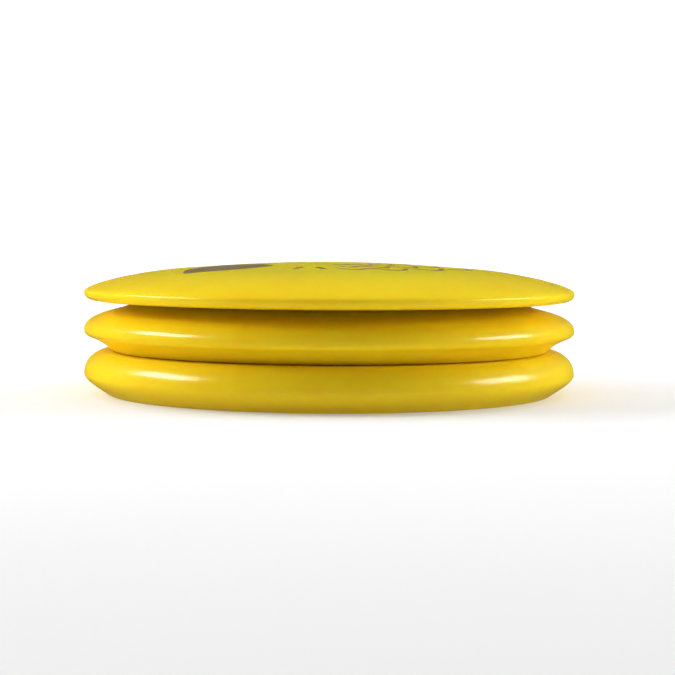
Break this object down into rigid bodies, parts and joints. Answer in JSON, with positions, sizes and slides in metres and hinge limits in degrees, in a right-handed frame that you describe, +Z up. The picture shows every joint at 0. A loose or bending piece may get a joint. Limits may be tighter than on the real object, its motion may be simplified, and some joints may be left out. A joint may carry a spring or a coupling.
{
  "type": "golf disc set",
  "caption": "Stack of yellow golf discs: a deep-rimmed putter below, a midrange on it and a thin sharp-edged driver on top, with foil stamps.",
  "frame": {"origin": "centre of the ring the bottom disc stands on", "axes": "+Z up along the discs' common axis, -Y towards the viewer, +X to the viewer's right"},
  "size_m": [0.212, 0.212, 0.0565],
  "materials": {
    "yellow_plastic": "glossy injection-moulded plastic, slightly translucent",
    "stamp_foil": "brown hot-stamped foil film"
  },
  "bodies": {
    "putter": {"putter_disc": "yellow_plastic", "putter_stamp": "stamp_foil"},
    "midrange": {"midrange_disc": "yellow_plastic", "midrange_stamp": "stamp_foil"},
    "driver": {"driver_disc": "yellow_plastic", "driver_stamp": "stamp_foil"}
  },
  "joints": [
    {"name": "midrange_lift", "type": "slide", "parent": "putter", "child": "midrange", "axis": [0, 0, 1], "range_m": [0, 0.12]},
    {"name": "driver_lift", "type": "slide", "parent": "midrange", "child": "driver", "axis": [0, 0, 1], "range_m": [0, 0.12]}
  ]
}
